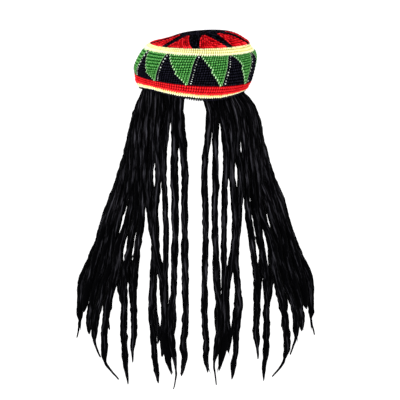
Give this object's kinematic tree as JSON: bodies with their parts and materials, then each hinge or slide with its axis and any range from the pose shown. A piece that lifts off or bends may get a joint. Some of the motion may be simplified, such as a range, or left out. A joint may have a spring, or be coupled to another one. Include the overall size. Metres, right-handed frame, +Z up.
{
  "type": "rasta tam with dreadlocks",
  "caption": "Puffy crocheted tam in black, red, green and cream with a zigzag band and a wedged crown, and long black felted dreadlocks hanging from inside the rim at both sides",
  "frame": {"origin": "The centre of the head opening, level with the rim, where the wearer's head goes in.", "axes": "+Z is up through the crown, -Y is the front where the locks are parted, +X is the viewer's right from the front."},
  "size_m": [0.4908, 0.2566, 0.6864],
  "materials": {
    "black_yarn": "crocheted yarn, matte",
    "red_yarn": "crocheted yarn, matte",
    "green_yarn": "crocheted yarn, matte",
    "cream_yarn": "crocheted yarn, matte",
    "black_felt": "felted fibre, matte"
  },
  "bodies": {
    "root": {"black_point_01": "black_yarn", "black_point_02": "black_yarn", "black_point_03": "black_yarn", "black_point_04": "black_yarn", "black_point_05": "black_yarn", "black_point_06": "black_yarn", "black_point_07": "black_yarn", "black_point_08": "black_yarn", "black_point_09": "black_yarn", "black_point_10": "black_yarn", "black_point_11": "black_yarn", "crown_top": "black_yarn", "green_point_01": "green_yarn", "green_point_02": "green_yarn", "green_point_03": "green_yarn", "green_point_04": "green_yarn", "green_point_05": "green_yarn", "green_point_06": "green_yarn", "green_point_07": "green_yarn", "green_point_08": "green_yarn", "green_point_09": "green_yarn", "green_point_10": "green_yarn", "green_point_11": "green_yarn", "left_locks": "black_felt", "lower_stripe": "cream_yarn", "red_stripe": "red_yarn", "red_wedge_01": "red_yarn", "red_wedge_02": "red_yarn", "red_wedge_03": "red_yarn", "red_wedge_04": "red_yarn", "red_wedge_05": "red_yarn", "red_wedge_06": "red_yarn", "red_wedge_07": "red_yarn", "red_wedge_08": "red_yarn", "red_wedge_09": "red_yarn", "right_locks": "black_felt", "rim_edging": "black_yarn", "upper_stripe": "cream_yarn"}
  },
  "joints": []
}
